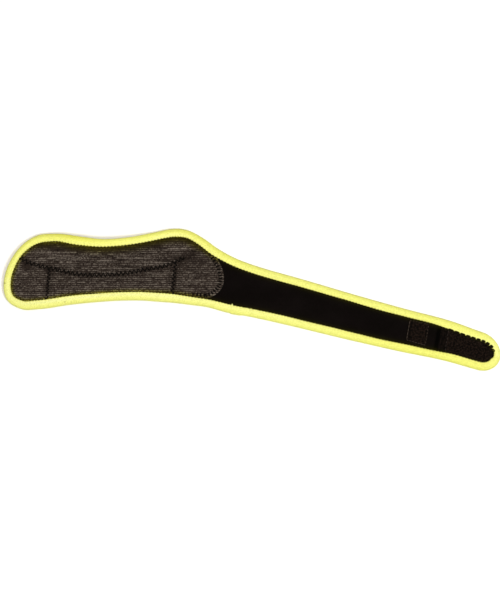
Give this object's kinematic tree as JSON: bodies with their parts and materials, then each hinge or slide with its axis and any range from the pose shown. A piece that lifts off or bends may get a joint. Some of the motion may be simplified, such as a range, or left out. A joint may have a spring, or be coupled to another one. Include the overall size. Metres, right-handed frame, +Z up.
{
  "type": "patellar knee support",
  "caption": "Contoured neoprene knee strap laid open, with a bound edge, a quilted knit pad under the kneecap and hook fasteners on its tail.",
  "frame": {"origin": "on the surface that the strap lies on, under the middle of its outline", "axes": "+X along the strap from the padded heel to the fastening tail, +Y towards the side that sits under the kneecap, +Z up out of the skin side"},
  "size_m": [0.465, 0.1009, 0.0142],
  "materials": {
    "neoprene": "matt black jersey-faced neoprene",
    "binding": "fluorescent yellow stretch tape",
    "knit": "brown-grey heather knit",
    "hook": "black nylon hooks"
  },
  "bodies": {
    "root": {"neoprene_band": "neoprene", "edge_binding": "binding", "pad_cover": "knit", "hook_square": "hook", "hook_tab": "hook"}
  },
  "joints": []
}
